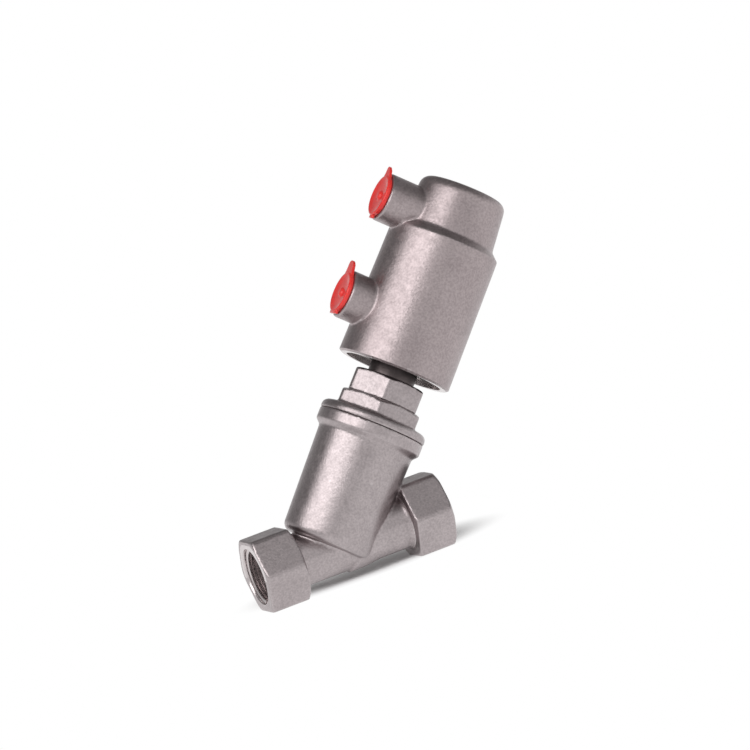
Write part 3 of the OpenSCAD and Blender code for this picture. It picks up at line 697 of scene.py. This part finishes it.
def cast_body():
    """Cast body with its fillets, then its faces, bores and threads."""
    inlet = port_hexagon(line_place(0), HEX_LENGTH + 0.9)
    outlet = port_hexagon(line_place(FACE_TO_FACE - HEX_LENGTH), HEX_LENGTH)
    pipes = pipe_necks()
    neck = place(turned("neck", rounded([
        (0, NECK_START), (NECK_LOW_RADIUS, NECK_START, 3.4), (NECK_TOP_RADIUS, NECK_TOP - 2.4, 1.2),
        (COLLAR_RADIUS, NECK_TOP, 0.5), (COLLAR_RADIUS, COLLAR_TOP, 0.4), (0, COLLAR_TOP)])),
        stem_place(0))
    pad = drain_pad()
    to_neck, to_pipes, to_pad, to_inlet = (distance_to(part) for part in (neck, pipes, pad, inlet))
    body = add(neck, pipes, pad, inlet, outlet)
    body.name = "cast_body"
    cast(body, [(to_neck, to_pipes), (to_neck, to_pad), (to_inlet, to_pipes)], soften=3)
    fillet(body, [(to_neck, to_pipes), (to_neck, to_inlet)], 4.5, 60,
           share=lambda point: min(1.0, max(0.0, (34 - point.x) / 12)))
    cut(body, box_body("inlet_face", (-3, -30, -30), (0.0, 30, 30)))
    faces = (line_place(0), outlet_place())
    for face in faces:
        cut(body, place(port_bore(), face))
    cut(body, *flow_way())
    for face in faces:
        add(body, place(thread("port_thread", PORT_THREAD_RADIUS, PORT_THREAD_HEIGHT, PORT_PITCH,
                               PORT_CHAMFER + 1.3, PORT_THREAD_DEPTH - 1.2), face))
    return finish(body, CLEAR, "valve", "cast_stainless", FINISHES["cast_stainless"], "valve_body",
                  tooled_or_shaded=body_machined)


def port_bore():
    """Bore of a pipe port from its face: mouth, thread and a cone down to the passage."""
    radius = PORT_THREAD_RADIUS
    mouth = radius + PORT_CHAMFER
    passage = PASSAGE_RADIUS - 0.3
    cone_end = PORT_THREAD_DEPTH + radius - PASSAGE_RADIUS + 0.3
    return turned("port_bore", [
        (0, -1), (mouth, -1), (mouth, 0), (radius, 2 * PORT_CHAMFER), (radius, PORT_THREAD_DEPTH),
        (passage, cone_end), (0, cone_end)])


def flow_way():
    """Ways of the liquid: inlet, elbow, seat, chamber and outlet."""
    inlet = place(rod("inlet", PASSAGE_RADIUS, PORT_THREAD_DEPTH, LINE_X), line_place(0))
    bend = PASSAGE_RADIUS + 0.4
    arc = [(bend * math.cos(k * math.pi / 24), bend * math.sin(k * math.pi / 24)) for k in range(-11, 12)]
    elbow = place(turned("elbow", [(0, -bend)] + arc + [(0, bend)]), line_place(LINE_X))
    seat = place(rod("seat", PASSAGE_RADIUS, 0, SEAT_HEIGHT + 0.5), stem_place(0))
    outlet_end = FACE_TO_FACE - PORT_THREAD_DEPTH + 0.5
    outlet = place(rod("outlet", PASSAGE_RADIUS, LINE_X + 4, outlet_end), line_place(0))
    above = place(box_body("above", (-60, -40, CHAMBER_FLOOR), (90, 40, 90)), stem_place(0))
    combine(outlet, above, "INTERSECT")
    seat_radius = PASSAGE_RADIUS + 2.5
    chamber = place(turned("chamber", [
        (0, SEAT_HEIGHT), (seat_radius, SEAT_HEIGHT), (seat_radius, CHAMBER_FLOOR),
        (CHAMBER_RADIUS, CHAMBER_FLOOR), (CHAMBER_RADIUS, BONNET_THREAD_START),
        (BONNET_THREAD_RADIUS, BONNET_THREAD_START), (BONNET_THREAD_RADIUS, GASKET_SEAT),
        (GASKET_RADIUS, GASKET_SEAT), (GASKET_RADIUS, 64), (0, 64)]), stem_place(0))
    return inlet, elbow, seat, outlet, chamber


cast_body()


# Actuator

def boss(height):
    """Round boss of an air port at a height on the actuator."""
    return place(turned("boss", rounded([
        (0, 0), (BOSS_RADIUS, 0), (BOSS_RADIUS, BOSS_REACH, 0.9), (0, BOSS_REACH)])), port_place(height, 0))


def air_port_bore(height):
    """Bore of an air port: pilot, thread, plain mouth and chamfer."""
    pilot_start = 16.0
    thread_start, mouth_start = BOSS_REACH - AIR_THREAD_DEPTH, BOSS_REACH - AIR_MOUTH_DEPTH
    chamfer = 0.4
    edge = AIR_MOUTH_RADIUS + chamfer
    return place(turned("air_port", [
        (0, pilot_start), (AIR_PILOT_RADIUS, pilot_start), (AIR_PILOT_RADIUS, thread_start),
        (AIR_THREAD_RADIUS, thread_start), (AIR_THREAD_RADIUS, mouth_start),
        (AIR_MOUTH_RADIUS, mouth_start), (AIR_MOUTH_RADIUS, BOSS_REACH - chamfer),
        (edge, BOSS_REACH), (edge, BOSS_REACH + 2), (0, BOSS_REACH + 2)]), port_place(height, 0))


def actuator_shell():
    """Barrel, shoulder, dome and bosses in one casting, then its rim and its bores."""
    shell = place(turned("actuator_shell", rounded([
        (0, RIM), (RIM_RADIUS, RIM), (BARREL_TOP_RADIUS, BARREL_TOP, 0.9),
        (DOME_LOW_RADIUS, SHOULDER_TOP), (DOME_TOP_RADIUS, DOME_TOP, 4.8), (0, DOME_TOP)], 8),
        sides=192), stem_place(0))
    low, high = boss(LOW_PORT), boss(HIGH_PORT)
    to_shell, to_low, to_high = distance_to(shell), distance_to(low), distance_to(high)
    add(shell, low, high)
    cast(shell, [(to_shell, to_low), (to_shell, to_high)], reach=1.3, passes=7)
    past_rim = RIM_RADIUS + 3
    rim_cut = place(turned("rim_cut", [
        (RIM_RADIUS - 1.2, RIM), (past_rim, RIM + 2.94), (past_rim, RIM - 2), (0, RIM - 2), (0, RIM)],
        sides=192, closed=True), stem_place(0))
    cut(shell, rim_cut)
    groove, soft = COVER - 1.55, 0.8
    room = place(turned("room", [
        (0, RIM - 0.5), (COVER_BORE_RADIUS, RIM - 0.5), (COVER_BORE_RADIUS, groove),
        (COVER_RING_RADIUS, groove), (COVER_RING_RADIUS, COVER), (COVER_BORE_RADIUS, COVER),
        (COVER_BORE_RADIUS, COVER_TOP), (PISTON_BORE_RADIUS, COVER_TOP), (PISTON_BORE_RADIUS, SPRING_STEP),
        (SPRING_BORE_RADIUS, SPRING_STEP), (SPRING_BORE_RADIUS, ROOF - soft),
        (SPRING_BORE_RADIUS - soft, ROOF), (0, ROOF)]), stem_place(0))
    cut(shell, room, air_port_bore(LOW_PORT), air_port_bore(HIGH_PORT))
    first_turn, last_turn = BOSS_REACH - AIR_THREAD_DEPTH + 0.8, BOSS_REACH - AIR_MOUTH_DEPTH - 0.6
    for height in (LOW_PORT, HIGH_PORT):
        add(shell, place(thread("air_thread", AIR_THREAD_RADIUS, AIR_THREAD_HEIGHT, AIR_PITCH,
                                first_turn, last_turn, 40), port_place(height, 0)))
    return finish(shell, CLEAR, "actuator", "blasted_stainless", FINISHES["blasted_stainless"],
                  "actuator_housing", tooled_or_shaded=shell_machined)


actuator_shell()


# Bonnet and nipple

def turned_hexagon(name, flats, low, high):
    """Hexagon whose upper corners are turned off and softened."""
    piece = hexagon(name, flats, low, high, HEX_TURN, HEX_EDGE)
    corner = flats / 2 / math.cos(math.pi / 6)
    drop = (corner - flats / 2) * 0.62
    tops = turned("tops", rounded([
        (0, low - 1), (corner + 0.3, low - 1), (corner + 0.3, high - drop, 1.0),
        (flats / 2 - 0.6, high, 0.6), (0, high)]))
    return combine(piece, tops, "INTERSECT")


def bonnet():
    """Bonnet: neck, thread core, round flange and hexagon, bored for guide, packing and nipple."""
    flange = COLLAR_RADIUS + 0.1
    piece = turned("screwed_bonnet", rounded([
        (0, BONNET_LOW), (BONNET_NECK_RADIUS, BONNET_LOW, 0.5), (BONNET_NECK_RADIUS, BONNET_THREAD_START),
        (BONNET_CORE_RADIUS, BONNET_THREAD_START, 0.6), (BONNET_CORE_RADIUS, COLLAR_TOP),
        (flange, COLLAR_TOP, 0.4), (flange, FLANGE_TOP, 2.8), (0, FLANGE_TOP)], 6))
    add(piece, turned_hexagon("bonnet_hexagon", BONNET_FLATS, FLANGE_TOP - 1, BONNET_TOP))
    cast(piece, [], soften=3)
    below, above = BONNET_LOW - 1.2, BONNET_TOP + 1.8
    packing_start = COLLAR_TOP - 9.3
    shank = NIPPLE_SHANK_RADIUS + 0.1
    cut(piece, turned("bonnet_bore", [
        (0, below), (GUIDE_RADIUS, below), (GUIDE_RADIUS, packing_start), (PACKING_RADIUS, packing_start),
        (PACKING_RADIUS, NIPPLE_SHANK), (shank, NIPPLE_SHANK), (shank, above), (0, above)]))
    return finish(piece, stem_place(0), "valve", "turned_stainless", FINISHES["hexagon_stainless"], "bonnet")


def shaded_nipple_neck(point):
    """True on the neck of the nipple, above its hexagon, which gets the dark steel of painted shade."""
    return math.hypot(point.x, point.y) < NIPPLE_NECK_RADIUS + 0.2 and point.z > NIPPLE_HEX_TOP - 0.2


def gland_nipple():
    """Nipple: shank, hexagon, neck and journal, bored for the stem and grooved for its rings."""
    piece = cast(turned_hexagon("packing_nipple", NIPPLE_FLATS, BONNET_TOP, NIPPLE_HEX_TOP), [], soften=3)
    add(piece, turned("nipple_neck", rounded([
        (0, NIPPLE_HEX_TOP - 1), (NIPPLE_NECK_RADIUS, NIPPLE_HEX_TOP - 1), (NIPPLE_NECK_RADIUS, SHELF, 0.3),
        (JOURNAL_RADIUS, SHELF), (JOURNAL_RADIUS, NIPPLE_TOP, 0.5), (0, NIPPLE_TOP)])))
    shank_top = BONNET_TOP + 0.5
    add(piece, turned("nipple_shank", [
        (0, GLAND), (GLAND_RADIUS, GLAND), (GLAND_RADIUS, NIPPLE_SHANK), (NIPPLE_SHANK_RADIUS, NIPPLE_SHANK),
        (NIPPLE_SHANK_RADIUS, shank_top), (0, shank_top)]))
    stem, groove = STEM_BORE_RADIUS, SEAL_GROOVE_RADIUS
    wiper, seal = BONNET_TOP + 1.8, SWIVEL_RING - 3.2
    wiper_top, seal_top = wiper + 2.1, seal + 2.7
    cut(piece, turned("nipple_bore", [
        (0, GLAND - 1), (stem, GLAND - 1), (stem, wiper), (groove, wiper), (groove, wiper_top),
        (stem, wiper_top), (stem, seal), (groove, seal), (groove, seal_top), (stem, seal_top),
        (stem, NIPPLE_TOP + 1), (0, NIPPLE_TOP + 1)]))
    ring_floor, ring_low, ring_high = 8.6, SWIVEL_RING - 0.1, SWIVEL_RING + 1.3
    cut(piece, turned("ring_groove", [
        (ring_floor, ring_low), (12, ring_low), (12, ring_high), (ring_floor, ring_high)], closed=True))
    # The neck gets the dark steel of painted shade
    return finish(piece, stem_place(0), "valve", "turned_stainless", FINISHES["hexagon_stainless"],
                  "gland_nipple", tooled_or_shaded=shaded_nipple_neck, tooled_or_shade_finish="painted_shade_steel")


bonnet()
gland_nipple()


# Return springs, from the piston to the roof of the dome

def return_spring(name, node, across, wire, turns):
    """Round-wire spring with closed ends, from the piston to the roof of the dome."""
    clear_selection()
    bpy.ops.mesh.primitive_circle_add(vertices=12, radius=wire / 2, location=(across / 2, 0, 0),
                                      rotation=(math.pi / 2, 0, 0))
    piece = bpy.context.object
    piece.name = name
    bpy.ops.object.transform_apply(location=True, rotation=True, scale=True)
    low, high = PISTON_TOP + SPRING_PLAY, ROOF - SPRING_PLAY
    rise = high - low - wire
    closed = wire * 1.03
    pitch = (rise - 2 * closed) / (turns - 2)
    sweep = piece.modifiers.new("turns", "SCREW")
    sweep.steps = sweep.render_steps = 36
    sweep.iterations = turns
    sweep.screw_offset = pitch
    apply(piece, sweep)
    for vertex in piece.data.vertices:
        turn = math.atan2(vertex.co.y, vertex.co.x) / math.tau
        turn += round(vertex.co.z / pitch - turn)
        at = rise - (turns - turn) * closed
        if turn < 1:
            at = turn * closed
        elif turn < turns - 1:
            at = closed + (turn - 1) * pitch
        vertex.co.z += low + wire / 2 + at - turn * pitch
    edit(piece)
    bpy.ops.mesh.select_all(action="SELECT")
    bpy.ops.mesh.fill_holes(sides=0)
    bpy.ops.mesh.normals_make_consistent(inside=False)
    done()
    finish(piece, stem_place(0), "actuator", "spring_steel", FINISHES["spring_steel"], node, angle=60)
    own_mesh(piece)
    return piece


return_spring("outer_coil_spring", "outer_return_spring", 31.4, 3.2, 7)
return_spring("inner_coil_spring", "inner_return_spring", 21.8, 2.4, 9)


# Plugs

def port_plug(name, height, body, tab, tip_half, nib, nib_half):
    """Push-in plug with a dished flange, a pull tab and a nib on the other side."""
    sleeve, hollow, depth = 6.55, 4.95, 6.0
    flange, thick = 9.9, 2.0
    root, root_half = 6.4, 6.6
    piece = turned(name, rounded([
        (0, -1.2), (hollow, -1.2), (hollow, -depth, 0.3), (sleeve, -depth, 0.6), (sleeve, 0.0, 0.2),
        (flange, 0.0, 0.35), (flange, thick, 0.7), (flange - 1.0, thick, 0.8), (root, 1.5, 6.0),
        (2.4, 1.2, 0.9), (1.6, 2.2, 0.9), (0, 2.3)], 5), sides=96)
    strap = box_body("strap", (root, -1, 0.2), (tab, 1, 1.45))
    edit(strap)
    bpy.ops.mesh.select_all(action="SELECT")
    bpy.ops.mesh.subdivide(number_cuts=9)
    done()
    for vertex in strap.data.vertices:
        along = min(1.0, max(0.0, (vertex.co.x - root) / (tab - root)))
        half = tip_half + (root_half - tip_half) * (1 - along) ** 1.6
        tip = max(0.0, (along - 0.8) / 0.2)
        side = vertex.co.y
        vertex.co.y = side * half * (1 - 0.2 * tip)
        vertex.co.x -= 0.9 * abs(side) ** 2 * tip
        vertex.co.z += 0.6 * along ** 2
    break_edges(strap, 0.3)
    stub = box_body("nib", (-nib, -nib_half, 0.3), (-8.0, nib_half, 1.7))
    break_edges(stub, 0.3)
    add(piece, strap, stub)
    return finish(piece, port_place(height, BOSS_REACH), body, "red_plastic", FINISHES["red_plastic"],
                  name.replace("red", "port"), angle=50)


port_plug("lower_red_plug", LOW_PORT, "lower_plug", 15.6, 2.9, 10.4, 4.2)
port_plug("upper_red_plug", HIGH_PORT, "upper_plug", 14.1, 1.8, 11.2, 2.0)


# CAD pieces that stay get the finish of their slot, and the end cover gets the dark steel of painted shade,
# for the shade in the rim's recess

for entry in frame["record"]["subparts"]:
    node = frame["nodes"].get(entry.get("node"))
    slot = "painted_shade_steel" if entry.get("node") == "end_cover" else entry.get("material_slot")
    if node is None or slot not in FINISHES:
        continue
    if len(node.material_slots) == 0:
        node.data.materials.append(FINISHES[slot])
    for held in node.material_slots:
        held.material = FINISHES[slot]


# Studio, in metres

BASE = -HEX_FLATS / 2 * 0.001
CENTRE = (0.075, 0.0, 0.07)
SHADOW_CENTRE = (0.062, 0.023)
SHADOW_HALF = (0.068, 0.037)
# Brightness of the room by the sine of the angle above the horizon: pale walls, a darker band, a lit ceiling
ROOM_LIGHT = ((0.0, 0.75), (0.1, 0.7), (0.26, 0.45), (0.42, 0.28), (0.6, 0.18), (0.8, 0.2), (1.0, 0.3))


def studio_floor():
    """Pale floor that the valve lies on, white away from the valve's shadow."""
    clear_selection()
    bpy.ops.mesh.primitive_plane_add(size=16, location=(0.05, 0, BASE))
    floor = bpy.context.object
    floor.name = "studio_floor"
    bpy.ops.object.transform_apply(location=True, rotation=True, scale=True)
    material = bpy.data.materials.new("studio_floor")
    material.use_nodes = True
    nodes, links = material.node_tree.nodes, material.node_tree.links
    nodes.clear()
    out = nodes.new("ShaderNodeOutputMaterial")
    paper = nodes.new("ShaderNodeBsdfDiffuse")
    paper.inputs["Color"].default_value = (0.92, 0.92, 0.92, 1)
    glow = nodes.new("ShaderNodeEmission")
    glow.inputs["Color"].default_value = (1, 1, 1, 1)
    glow.inputs["Strength"].default_value = 1.0
    where = nodes.new("ShaderNodeTexCoord")
    oval = nodes.new("ShaderNodeMapping")
    oval.inputs["Location"].default_value = (
        -SHADOW_CENTRE[0] / SHADOW_HALF[0], -SHADOW_CENTRE[1] / SHADOW_HALF[1], -BASE)
    oval.inputs["Scale"].default_value = (1 / SHADOW_HALF[0], 1 / SHADOW_HALF[1], 1)
    links.new(where.outputs["Object"], oval.inputs["Vector"])
    distance = nodes.new("ShaderNodeVectorMath")
    distance.operation = "LENGTH"
    links.new(oval.outputs["Vector"], distance.inputs[0])
    fade = nodes.new("ShaderNodeMapRange")
    fade.inputs["From Min"].default_value = 0.5
    fade.inputs["From Max"].default_value = 1.05
    fade.interpolation_type = "SMOOTHSTEP"
    links.new(distance.outputs["Value"], fade.inputs["Value"])
    material.cycles.emission_sampling = "NONE"
    path = nodes.new("ShaderNodeLightPath")
    seen = path.outputs["Is Camera Ray"]
    for ray in ("Is Glossy Ray", "Is Transmission Ray"):
        either = nodes.new("ShaderNodeMath")
        either.operation = "MAXIMUM"
        links.new(seen, either.inputs[0])
        links.new(path.outputs[ray], either.inputs[1])
        seen = either.outputs[0]
    share = nodes.new("ShaderNodeMath")
    share.operation = "MULTIPLY"
    links.new(fade.outputs["Result"], share.inputs[0])
    links.new(seen, share.inputs[1])
    blend = nodes.new("ShaderNodeMixShader")
    links.new(share.outputs[0], blend.inputs[0])
    links.new(paper.outputs[0], blend.inputs[1])
    links.new(glow.outputs[0], blend.inputs[2])
    links.new(blend.outputs[0], out.inputs[0])
    floor.data.materials.append(material)


def lamp(name, at, aim, width, height, power, colour=(1, 1, 1)):
    """Soft box at a place, facing an aim point."""
    light = bpy.data.lights.new(name, "AREA")
    light.shape = "RECTANGLE"
    light.size, light.size_y = width, height
    light.energy = power
    light.color = colour
    holder = bpy.data.objects.new(name, light)
    bpy.context.scene.collection.objects.link(holder)
    holder.location = at
    holder.rotation_euler = (Vector(aim) - Vector(at)).to_track_quat("-Z", "Y").to_euler()
    return holder


def studio_world():
    """Room that lights the valve softly from all around."""
    world = bpy.data.worlds.new("studio")
    bpy.context.scene.world = world
    world.use_nodes = True
    nodes, links = world.node_tree.nodes, world.node_tree.links
    nodes.clear()
    out = nodes.new("ShaderNodeOutputWorld")
    room = nodes.new("ShaderNodeBackground")
    where = nodes.new("ShaderNodeTexCoord")
    parts = nodes.new("ShaderNodeSeparateXYZ")
    sky = nodes.new("ShaderNodeValToRGB")
    band = sky.color_ramp
    while len(band.elements) < len(ROOM_LIGHT):
        band.elements.new(0.5)
    for element, (height, level) in zip(band.elements, ROOM_LIGHT):
        element.position = height
        element.color = (level, level, level, 1)
    links.new(where.outputs["Generated"], parts.inputs[0])
    links.new(parts.outputs["Z"], sky.inputs["Fac"])
    links.new(sky.outputs["Color"], room.inputs["Color"])
    links.new(room.outputs[0], out.inputs[0])


studio_world()
studio_floor()
lamp("key_box", (-0.98, -0.66, 1.2), CENTRE, 1.9, 1.1, 17.0, (1.0, 0.98, 0.98))
lamp("front_panel", (0.165, -1.53, 1.02), CENTRE, 2.4, 1.2, 5.5)
table_light = lamp("table_light", (-0.2, -1.3, 0.9), CENTRE, 1.8, 1.0, 9.0)
table_light.visible_glossy = False


# The photograph's camera: angles in degrees, distance and shift of the aim in metres, lens in millimetres
CAMERA_TURN, CAMERA_RISE, CAMERA_ROLL = 17.3105, 8.0565, 17.8884
CAMERA_DISTANCE = 2.8962
CAMERA_AIM = (0.06, 0.0, 0.06)
CAMERA_SHIFT = (0.01941, 0.01614)
CAMERA_LENS = 302.26


def photo_camera():
    """Camera of the photograph, a long lens held at a roll."""
    azimuth, elevation, roll = (math.radians(a) for a in (CAMERA_TURN, CAMERA_RISE, CAMERA_ROLL))
    back = Vector((-math.sin(azimuth) * math.cos(elevation), -math.cos(azimuth) * math.cos(elevation),
                   math.sin(elevation)))
    level = Vector((math.cos(azimuth), -math.sin(azimuth), 0))
    upright = level.cross(back) * -1
    if upright.z < 0:
        upright = -upright
    right = level * math.cos(roll) - upright * math.sin(roll)
    up = level * math.sin(roll) + upright * math.cos(roll)
    aim = Vector(CAMERA_AIM) + right * CAMERA_SHIFT[0] + up * CAMERA_SHIFT[1]
    camera = bpy.data.cameras.new("photo_camera")
    camera.lens = CAMERA_LENS
    camera.sensor_width = 36.0
    camera.clip_start, camera.clip_end = 0.5, 20.0
    holder = bpy.data.objects.new("photo_camera", camera)
    bpy.context.scene.collection.objects.link(holder)
    holder.matrix_world = Matrix((
        (right.x, up.x, back.x, 0), (right.y, up.y, back.y, 0), (right.z, up.z, back.z, 0), (0, 0, 0, 1)))
    holder.location = aim + back * CAMERA_DISTANCE
    bpy.context.scene.camera = holder


photo_camera()
bpy.context.scene.view_settings.view_transform = "Standard"
